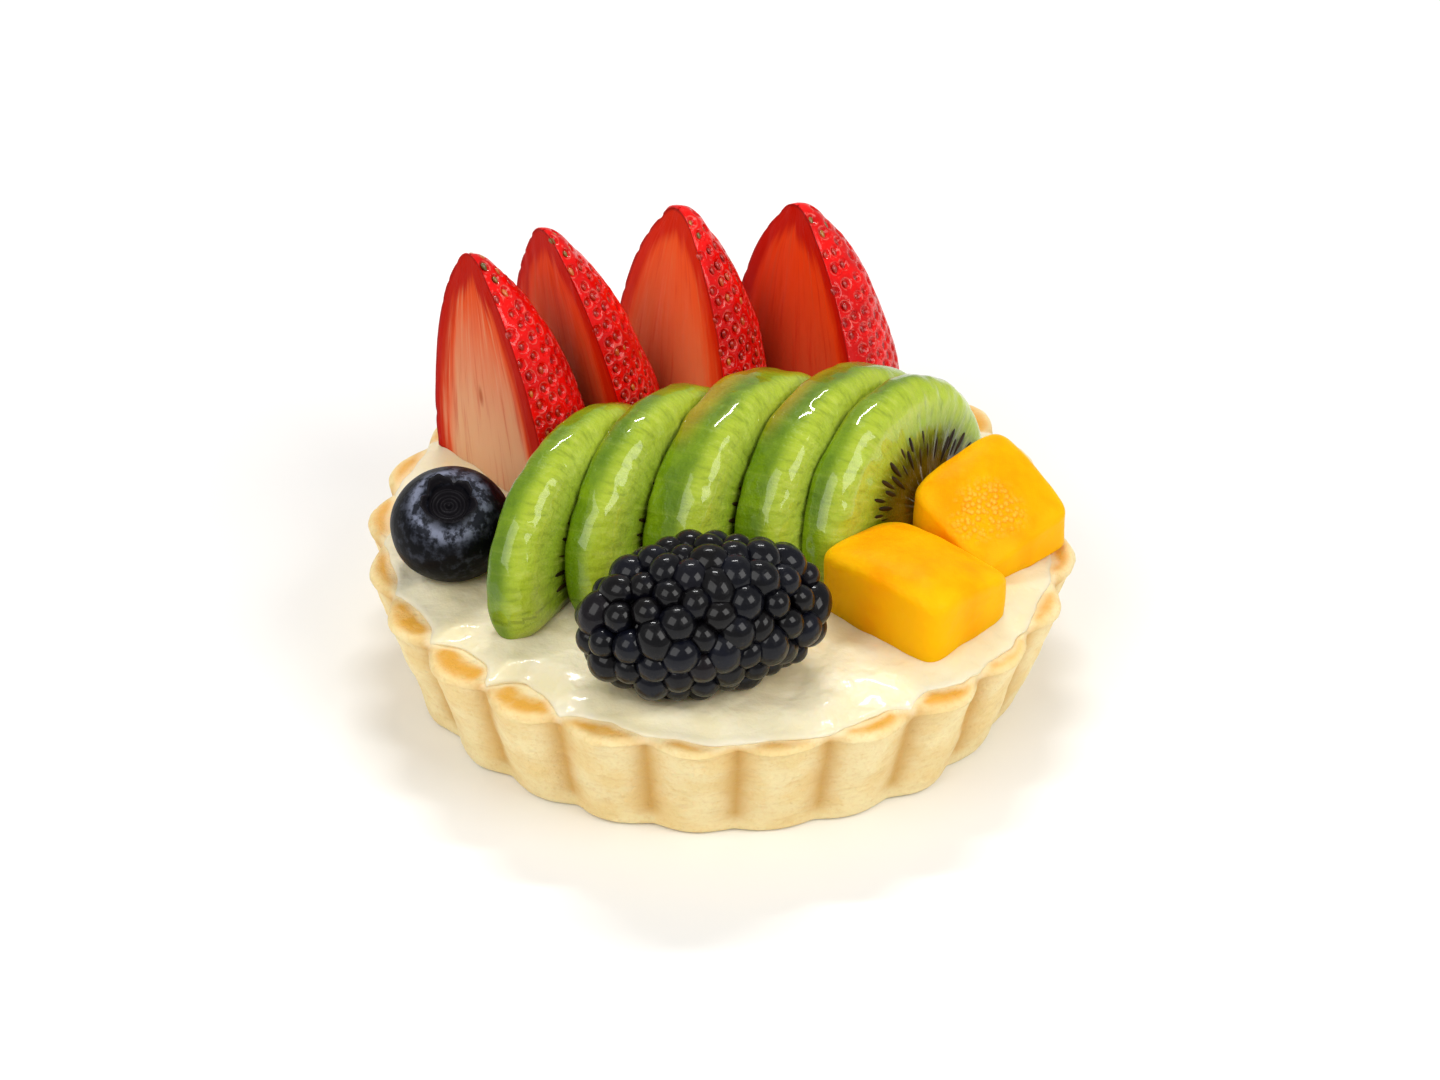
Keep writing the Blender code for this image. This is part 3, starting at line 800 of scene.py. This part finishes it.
def kiwi_grid(cut):
    """Rings from the middle of the back face over the rounded edge to the middle of the front face."""
    chord, facing, rise = kiwi_frame(cut)
    thickness = cut[2]
    rows = []
    back = KIWI_BACK_ROUND
    front = KIWI_FRONT_ROUND
    for share in np.linspace(0.12, 1.0, 14)[:-1]:
        rows.append(("face", 0.0, back, share))
    for turn in np.linspace(0.0, 0.5 * math.pi, 7):
        rows.append(("band", back * (1.0 - math.cos(turn)), back * (1.0 - math.sin(turn)), 1.0))
    for depth in np.linspace(back, thickness - front, 8)[1:-1]:
        rows.append(("band", depth, 0.0, 1.0))
    for turn in np.linspace(0.0, 0.5 * math.pi, 18):
        rows.append(("band", thickness - front * (1.0 - math.sin(turn)), front * (1.0 - math.cos(turn)), 1.0))
    for share in np.linspace(1.0, 0.06, 34)[1:]:
        rows.append(("face", thickness, front, share))
    rings = []
    for kind, depth, inset, share in rows:
        ring = kiwi_outline(cut, depth, inset, KIWI_COLUMNS)
        if kind == "face":
            centre = UP * KIWI_MIDDLE + facing * depth
            ring = centre + (ring - centre) * share
        rings.append(ring)
    return np.array(rings)


def build_kiwi(number, cut):
    """Half slice of kiwi with a rounded outer edge, and the seeds on its faces."""
    chord, facing, rise = kiwi_frame(cut)
    thickness = cut[2]
    grid = kiwi_grid(cut)
    back_middle = UP * KIWI_MIDDLE
    front_middle = UP * KIWI_MIDDLE + facing * thickness
    points, faces = closed_skin(grid, back_middle, front_middle)
    local = points - UP * KIWI_MIDDLE
    along = local @ chord
    up = local @ rise
    depth = local @ facing
    radial = np.hypot(along / KIWI_HALF_WIDTH, up / KIWI_HEIGHT)
    bearing = np.arctan2(up, along)
    node = f"kiwi_{number}"
    moved = settle(points, node)
    shift = moved[0] - points[0]
    above_foot = np.clip((moved[:, 2] - KIWI_FLOOR) / KIWI_FOOT_ROUND, 0.0, 1.0)
    narrow = 0.35 + 0.65 * np.sqrt(1.0 - (1.0 - above_foot) ** 2)
    moved = moved + facing * ((depth - 0.5 * thickness) * (narrow - 1.0))[:, None]
    piece = make_mesh(f"kiwi_slice_{number}", moved, faces)
    outer = smooth_step(0.55, 0.95, radial)
    lumps = outer * (0.00030 * fractal(moved, 0.0060, 110 + number, 2) + 0.00010 * noise(moved, 0.0016, 120 + number))
    spokes = np.stack([bearing * 0.9, radial * 0.35, depth * 60.0], axis=-1)
    on_face = smooth_step(0.98, 0.9, radial)
    lumps += on_face * 0.00014 * noise(spokes, 0.06, 130 + number)
    push_out(piece, lumps)
    paint(piece, "radial", radial)
    paint(piece, "bearing", bearing)
    from_front = (thickness - depth) / KIWI_FRONT_ROUND
    paint(piece, "band", smooth_step(0.15, 1.0, from_front) * smooth_step(0.78, 0.92, radial))
    # painted highlight: a pale sheen along the rounded front edge
    paint(piece, "ridge_sheen", np.exp(-((from_front - 0.30) / 0.38) ** 2) * smooth_step(0.72, 0.90, radial))
    # painted reflected light: orange bounce from the strawberries on the top of the slice's back
    paint(piece, "strawberry_bounce", smooth_step(1.1, 2.0, from_front) * smooth_step(0.80, 1.0, up / KIWI_HEIGHT))
    piece.data.materials.append(kiwi_material())
    attach(piece, node)
    return kiwi_seeds(number, cut, shift)


def kiwi_seeds(number, cut, shift):
    """Seeds lying on both faces of a slice, pointing away from the core."""
    chord, facing, rise = kiwi_frame(cut)
    dice = np.random.default_rng(900 + number)
    items = []
    for depth, sign in ((cut[2], 1.0), (0.0, -1.0)):
        for step in range(30):
            angle = math.pi * (step + dice.uniform(0.25, 0.75)) / 30
            reach = 0.43 + 0.09 * (step % 2) + dice.uniform(-0.02, 0.02)
            out = chord * (KIWI_HALF_WIDTH * math.cos(angle)) + rise * (KIWI_HEIGHT * math.sin(angle))
            place = UP * KIWI_MIDDLE + facing * (depth - sign * 0.00010) + out * reach + shift
            way = out / np.linalg.norm(out)
            wide = np.cross(facing, way)
            size = dice.uniform(0.85, 1.15)
            axes = np.stack([wide * 0.00066 * size, facing * 0.0004 * size, way * 0.0036 * size], axis=-1)
            items.append((place, axes, dice.uniform(0.0, 1.0)))
    return items


def build_kiwis():
    """Five slices leaning on each other, and their seeds."""
    items = []
    for index, cut in enumerate(KIWI_SLICES):
        items += build_kiwi(index + 1, cut)
    scatter("kiwi_seeds", items, kiwi_seed_material())


def kiwi_material():
    """Glazed kiwi: yellow-green outer band, a painted pale sheen along the front edge, painted orange bounce light at
    the top, rays across the green flesh and a dark seed zone.
    """
    finish = Finish("kiwi_flesh", Roughness=0.36, Subsurface_Weight=0.22, Subsurface_Scale=0.003,
                    Specular_IOR_Level=0.15, Coat_Weight=0.75, Coat_Roughness=0.06)
    finish.shader.inputs["Subsurface Radius"].default_value = (0.8, 1.0, 0.10)
    place = finish.place()
    radial = finish.number("radial")
    bearing = finish.number("bearing")
    rays = finish.speckle(finish.vector(bearing, finish.math("MULTIPLY", radial, 0.30)), 0.050, 3.0, 0.6)
    cloud = finish.speckle(place, 0.005, 3.0)
    stops = ((0.0, srgb(150, 132, 50)), (0.22, srgb(112, 92, 12)), (0.34, srgb(92, 74, 4)),
             (0.44, srgb(58, 62, 1)), (0.54, srgb(80, 100, 4)), (0.66, srgb(152, 180, 46)),
             (0.82, srgb(184, 206, 74)), (1.0, srgb(146, 174, 24)))
    colour = finish.ramp(radial, stops)
    band = finish.mix(finish.span(cloud, 0.35, 0.65), srgb(90, 122, 0), srgb(116, 146, 2))
    colour = finish.mix(finish.number("band"), colour, band)
    # painted highlight: pale sheen along the rounded front edge, broken up by noise
    ridge_sheen = finish.math("MULTIPLY", finish.number("ridge_sheen"), finish.span(cloud, 0.25, 0.60, 0.45, 0.90))
    colour = finish.mix(ridge_sheen, colour, srgb(170, 188, 46))
    ray_zone = finish.math("MULTIPLY", finish.span(radial, 0.36, 0.56), finish.span(finish.number("band"), 1.0, 0.3, 0.25, 1.0))
    pale = finish.math("MULTIPLY", finish.span(rays, 0.48, 0.78, 0.0, 0.40), ray_zone)
    colour = finish.mix(pale, colour, srgb(204, 214, 104))
    dark = finish.math("MULTIPLY", finish.span(rays, 0.50, 0.24, 0.0, 0.40), ray_zone)
    colour = finish.mix(dark, colour, srgb(70, 96, 0))
    # painted reflected light: orange bounce from the strawberries
    colour = finish.mix(finish.math("MULTIPLY", finish.number("strawberry_bounce"), 0.45), colour, srgb(206, 142, 10))
    finish.shade("Base Color", colour)
    soft = finish.bump(finish.speckle(place, 0.0012, 3.0, 0.6), 0.00030)
    finish.shade("Normal", finish.bump(rays, 0.00010, soft))
    return finish.material


def kiwi_seed_material():
    """Near-black kiwi seeds."""
    finish = Finish("kiwi_seed", Roughness=0.45, Specular_IOR_Level=0.2)
    finish.shade("Base Color", finish.mix(finish.number("tint"), srgb(24, 14, 2), srgb(52, 36, 4)))
    return finish.material


# ---------------------------------------------------------------- peach

def build_peach(number, cube):
    """Cut cube of peach with rounded edges and a domed, sloping top."""
    turn, half_length, half_width, height, slope_along, slope_across = cube
    along = np.array((math.cos(turn), math.sin(turn), 0.0))
    across = np.array((-math.sin(turn), math.cos(turn), 0.0))
    columns = 168
    angle = 2.0 * math.pi * np.arange(columns) / columns
    reach = (np.abs(np.cos(angle)) ** PEACH_SQUARE + np.abs(np.sin(angle)) ** PEACH_SQUARE) ** (-1.0 / PEACH_SQUARE)
    rings = []
    rows = [(share, 1.0) for share in np.linspace(0.0, 0.75, 22)]
    for turn_up in np.linspace(0.0, 0.5 * math.pi, 40)[1:-1]:
        bend = (math.sin(turn_up) ** (2.0 / 2.7), math.cos(turn_up) ** (2.0 / 2.7))
        rows.append((0.75 + 0.25 * bend[0], bend[1]))
    for share, spread in rows:
        a = reach * np.cos(angle) * spread
        b = reach * np.sin(angle) * spread
        top = height + slope_along * a * half_length + slope_across * b * half_width
        top = top + PEACH_DOME * (1.0 - 0.5 * (a * a + b * b))
        ring = along * (a * half_length)[:, None] + across * (b * half_width)[:, None]
        rings.append(ring + UP * (share * top)[:, None])
    end = UP * (height + PEACH_DOME)
    points, faces = closed_skin(np.array(rings), (0.0, 0.0, 0.0), end)
    node = f"peach_{number}"
    points = settle(points, node)
    piece = make_mesh(f"peach_cube_{number}", points, faces)
    relief = 0.00022 * fractal(points, 0.0070, 210 + number, 2) + 0.00004 * noise(points, 0.0014, 220 + number)
    push_out(piece, relief)
    middle = np.array((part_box(node)[0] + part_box(node)[1]) / 2.0)
    away_along = (points - middle) @ along / half_length
    away_across = (points - middle) @ across / half_width
    spot = np.hypot(away_along - PEACH_PATCH[0], away_across - PEACH_PATCH[1]) / PEACH_PATCH[2]
    above = smooth_step(-0.001, 0.001, points[:, 2] - middle[2])
    paint(piece, "fibrous", above * smooth_step(1.0, 0.45, spot) * (number == 2))
    aside = np.maximum(np.abs(away_along), np.abs(away_across))
    # painted light: yellow glow along the upper side edges, strongest at the corners
    glow_band = smooth_step(0.62, 0.92, aside) * smooth_step(0.3, 0.8, points[:, 2] / points[:, 2].max())
    paint(piece, "corner", glow_band * smooth_step(0.9, 1.5, np.abs(away_along) + np.abs(away_across)))
    piece.data.materials.append(peach_material(number))
    attach(piece, node)


def peach_material(number):
    """Soft preserved peach with a syrupy shine, and a painted yellow glow along its upper side edges and corners."""
    finish = Finish(f"peach_flesh_{number}", Roughness=0.45, Subsurface_Weight=0.35, Subsurface_Scale=0.004,
                    Specular_IOR_Level=0.05)
    finish.shader.inputs["Subsurface Radius"].default_value = (1.0, 0.40, 0.02)
    place = finish.place()
    cloud = finish.speckle(place, 0.005, 3.0)
    colour = finish.mix(finish.span(cloud, 0.3, 0.7), srgb(255, 174, 0), srgb(252, 157, 0))
    # painted light: yellower glow at the upper edges and corners
    colour = finish.mix(finish.math("MULTIPLY", finish.number("corner"), 0.60), colour, srgb(255, 196, 10))
    fibre = finish.speckle(place, 0.0012, 3.0)
    ends = finish.math("MULTIPLY", finish.number("fibrous"), finish.span(finish.cells(place, 0.00070), 0.65, 0.25))
    colour = finish.mix(finish.math("MULTIPLY", ends, 0.38), colour, srgb(255, 206, 90))
    finish.shade("Base Color", colour)
    soft = finish.bump(fibre, 0.00012)
    finish.shade("Normal", finish.bump(ends, 0.00020, soft))
    return finish.material


# ---------------------------------------------------------------- bramble

def drupelet_places():
    """Places spread evenly but unevenly enough over a long round berry, with the way out at each."""
    half = 0.5 * BRAMBLE_LENGTH - DRUPELET_RADIUS
    girth = BRAMBLE_RADIUS - DRUPELET_RADIUS
    radii = np.array((half, girth, girth))
    dice = np.random.default_rng(42)
    index = np.arange(DRUPELETS) + 0.5
    polar = np.arccos(1.0 - 2.0 * index / DRUPELETS)
    turn = math.pi * (1.0 + math.sqrt(5.0)) * index
    ball = np.stack([np.cos(polar), np.sin(polar) * np.cos(turn), np.sin(polar) * np.sin(turn)], axis=-1)
    ball += dice.normal(0.0, 0.09, ball.shape)
    places = ball / np.linalg.norm(ball, axis=1)[:, None] * radii
    reach = 0.0037
    for _ in range(60):
        apart = places[:, None] - places[None]
        away = np.linalg.norm(apart, axis=2) + 1e-9
        push = np.clip(reach - away, 0.0, None) / away
        np.fill_diagonal(push, 0.0)
        places = places + 0.22 * (apart * push[..., None]).sum(axis=1)
        places = places / np.linalg.norm(places / radii, axis=1)[:, None]
    out = places / radii ** 2
    return places, out / np.linalg.norm(out, axis=1)[:, None], dice


def build_bramble():
    """Dark bramble: a round drupelet at each place, over a smaller core."""
    places, outs, dice = drupelet_places()
    ball = bmesh_ball(4)
    turn = Matrix.Rotation(BRAMBLE_TURN, 3, "Z")
    turn = np.array(turn)
    points, faces, tints = [], [], []
    for place, out in zip(places, outs):
        size = DRUPELET_RADIUS * dice.uniform(0.80, 1.16)
        lift = dice.uniform(-0.00040, 0.00020)
        start = sum(len(block) for block in points)
        stretch = 1.0 + 0.10 * dice.uniform(-1.0, 1.0)
        shape = ball[0] * size
        way = dice.normal(0.0, 1.0, 3)
        way = np.cross(out, way / np.linalg.norm(way))
        shape = shape + way * ((shape @ way) * dice.uniform(0.0, 0.34))[:, None]
        shape = shape + out * ((shape @ out) * (stretch - 1.0))[:, None]
        points.append(shape + place + out * lift)
        faces += [tuple(index + start for index in face) for face in ball[1]]
        tints.append(np.full(len(shape), dice.uniform(0.0, 1.0)))
    core = ball[0] * np.array((0.5 * BRAMBLE_LENGTH - 0.0030, BRAMBLE_RADIUS - 0.0030, BRAMBLE_RADIUS - 0.0030))
    start = sum(len(block) for block in points)
    points.append(core)
    faces += [tuple(index + start for index in face) for face in ball[1]]
    tints.append(np.zeros(len(core)))
    joined = np.concatenate(points) @ turn.T
    piece = make_mesh("bramble_drupelets", settle(joined, "bramble"), faces)
    paint(piece, "tint", np.concatenate(tints))
    piece.data.materials.append(bramble_material())
    attach(piece, "bramble")


def bmesh_ball(level):
    """Points and triangles of a round ball of radius one."""
    work = bmesh.new()
    bmesh.ops.create_icosphere(work, subdivisions=level, radius=1.0)
    points = np.array([vertex.co[:] for vertex in work.verts])
    faces = [tuple(vertex.index for vertex in face.verts) for face in work.faces]
    work.free()
    return points, faces


def bramble_material():
    """Near-black juice-filled drupelets with a blue cast."""
    finish = Finish("bramble_skin", Roughness=0.34, Coat_Weight=0.38, Coat_Roughness=0.06,
                    Specular_IOR_Level=0.08)
    place = finish.place()
    stops = ((0.0, srgb(6, 4, 5)), (0.4, srgb(6, 6, 10)), (0.85, srgb(10, 12, 22)), (1.0, srgb(20, 12, 12)))
    colour = finish.ramp(finish.number("tint"), stops)
    haze = finish.span(finish.speckle(place, 0.0030, 2.0), 0.50, 0.80, 0.0, 0.35)
    finish.shade("Base Color", finish.mix(haze, colour, srgb(18, 22, 40)))
    finish.shade("Normal", finish.bump(finish.speckle(place, 0.0011, 2.0), 0.00020))
    return finish.material


# ---------------------------------------------------------------- blueberry

def build_blueberry():
    """Blueberry with a ragged crown round a hollow, tipped forward."""
    columns = 160
    turn = 2.0 * math.pi * np.arange(columns) / columns
    edge = math.asin(CROWN_RADIUS / BLUEBERRY_RADIUS)
    lobe = np.abs(np.cos(2.5 * (turn + 0.22 * np.sin(turn) + 0.3))) ** 0.9
    lobe = lobe * (0.80 + 0.20 * np.cos(2.0 * turn + 1.0)) + 0.06 * np.sin(17.0 * turn)
    rows = []
    zero = 0.0 * turn
    for polar in np.linspace(math.pi - 0.05, edge * 1.04, 90):
        height = BLUEBERRY_RADIUS * BLUEBERRY_SQUASH * math.cos(polar)
        rows.append((BLUEBERRY_RADIUS * math.sin(polar) + zero, height + zero))
    top = BLUEBERRY_RADIUS * BLUEBERRY_SQUASH * math.cos(edge)
    for share in np.linspace(0.0, 1.0, 10):
        rows.append((CROWN_RADIUS + CROWN_SPREAD * share * lobe, top + CROWN_LIFT * lobe * share))
    for share in np.linspace(0.0, 1.0, 10)[1:]:
        reach = CROWN_RADIUS * (0.94 - 0.14 * share) + CROWN_SPREAD * (1.0 - share) * lobe
        rows.append((reach, top + CROWN_LIFT * lobe * (1.0 - share) - CROWN_DEPTH * share))
    for share in np.linspace(0.97, 0.05, 22):
        step_down = 0.00020 * np.cos(share * 14.0) + 0.00045 * np.exp(-(share / 0.20) ** 2)
        rows.append((CROWN_RADIUS * 0.80 * share + zero, top - CROWN_DEPTH + step_down - 0.0003 * (1.0 - share) + zero))
    grid = np.array([np.stack([BLUEBERRY_WIDENING * radius * np.cos(turn), radius * np.sin(turn), height], axis=-1)
                     for radius, height in rows])
    points, faces = closed_skin(grid, (0.0, 0.0, -BLUEBERRY_RADIUS * BLUEBERRY_SQUASH), (0.0, 0.0, top - 0.0010))
    ring = np.hypot(points[:, 0], points[:, 1])
    above = points[:, 2] > 0.0
    crown_near = np.exp(-((ring - 0.0042) / 0.0008) ** 2) * above
    hollow = smooth_step(top - 0.0002, top + 0.0001, points[:, 2]) + smooth_step(CROWN_RADIUS, CROWN_RADIUS * 0.9, ring)
    hollow = np.clip(hollow, 0.0, 1.0) * above
    tilt = np.array(Matrix.Rotation(BLUEBERRY_TILT, 3, "X"))
    points = settle(points @ tilt.T, "blueberry")
    piece = make_mesh("blueberry_whole", points, faces)
    push_out(piece, 0.00016 * fractal(points, 0.0050, 310, 2) * (1.0 - hollow))
    paint(piece, "crown_near", crown_near)
    paint(piece, "hollow", hollow)
    piece.data.materials.append(blueberry_material())
    attach(piece, "blueberry")


def blueberry_material():
    """Navy-black skin with a pale bloom, mostly round the crown, rubbed off in patches."""
    finish = Finish("blueberry_skin", Roughness=0.45, Specular_IOR_Level=0.06, Coat_Weight=0.06, Coat_Roughness=0.20)
    place = finish.place()
    patches = finish.speckle(place, 0.0014, 4.0, 0.65)
    near = finish.math("MULTIPLY", finish.number("crown_near"), finish.span(patches, 0.40, 0.58, 0.10, 1.0))
    bloom = finish.math("ADD", finish.span(patches, 0.50, 0.72, 0.0, 0.14), finish.math("MULTIPLY", near, 1.0))
    colour = finish.mix(bloom, srgb(3, 4, 9), srgb(122, 128, 148))
    colour = finish.mix(finish.number("hollow"), colour, srgb(24, 22, 26))
    finish.shade("Base Color", colour)
    finish.shade("Normal", finish.bump(finish.speckle(place, 0.0009, 3.0), 0.00008))
    return finish.material


# ---------------------------------------------------------------- surroundings

def build_stage():
    """Plain pale floor."""
    floor = make_mesh("floor", np.array(((-2.0, -2.0, 0.0), (2.0, -2.0, 0.0), (2.0, 2.0, 0.0), (-2.0, 2.0, 0.0))),
                      [(0, 1, 2, 3)])
    finish = Finish("floor_pale", Roughness=0.8)
    finish.shader.inputs["Base Color"].default_value = srgb(244, 244, 243)
    floor.data.materials.append(finish.material)


def add_light(name, place, aim, size, power, colour=(1.0, 1.0, 1.0), height=None):
    """Soft square light, or a strip of the given height."""
    light = bpy.data.lights.new(name, "AREA")
    light.size = size
    if height:
        light.shape = "RECTANGLE"
        light.size_y = height
    light.energy = power
    light.color = colour
    made = bpy.data.objects.new(name, light)
    made.location = place
    made.rotation_euler = (Vector(aim) - Vector(place)).to_track_quat("-Z", "Y").to_euler()
    bpy.context.scene.collection.objects.link(made)


def build_lights():
    """Plain soft studio light."""
    world = bpy.data.worlds.new("studio")
    world.use_nodes = True
    world.node_tree.nodes["Background"].inputs["Color"].default_value = (1.0, 0.99, 0.975, 1.0)
    world.node_tree.nodes["Background"].inputs["Strength"].default_value = 0.40
    bpy.context.scene.world = world
    middle = (0.0, 0.0, 0.02)
    add_light("key", (0.56, -0.36, 0.62), middle, 0.50, 3.9, (1.0, 0.985, 0.96))
    add_light("strip", (-0.02, 0.42, 0.70), middle, 0.30, 2.4, height=0.05)
    add_light("front", (-0.55, -0.60, 0.78), middle, 0.80, 6.0, (1.0, 0.99, 0.97))
    bpy.context.scene.view_settings.view_transform = "Standard"


ELEVATION = math.radians(35.83)
ROLL = math.radians(0.945)
DISTANCE = 0.6179
LENS = 123.94
TARGET_HEIGHT = 0.01595


def build_camera():
    """Camera in front, looking down at the tart."""
    camera = bpy.data.cameras.new("camera")
    camera.lens = LENS
    camera.sensor_width = 36.0
    made = bpy.data.objects.new("camera", camera)
    low, high = CAD_BOX
    target = Vector(((low.x + high.x) / 2.0, (low.y + high.y) / 2.0, TARGET_HEIGHT))
    back = Vector((0.0, -math.cos(ELEVATION), math.sin(ELEVATION)))
    across = Vector((1.0, 0.0, 0.0))
    upward = back.cross(across)
    turned_across = across * math.cos(ROLL) + upward * math.sin(ROLL)
    turned_upward = upward * math.cos(ROLL) - across * math.sin(ROLL)
    made.matrix_world = Matrix((turned_across, turned_upward, back)).transposed().to_4x4()
    made.location = target + back * DISTANCE
    bpy.context.scene.collection.objects.link(made)
    bpy.context.scene.camera = made


build_camera()
build_lights()
build_stage()
build_crust()
build_cream()
build_strawberries()
build_kiwis()
for peach_index, peach in enumerate(PEACHES):
    build_peach(peach_index + 1, peach)
build_bramble()
build_blueberry()
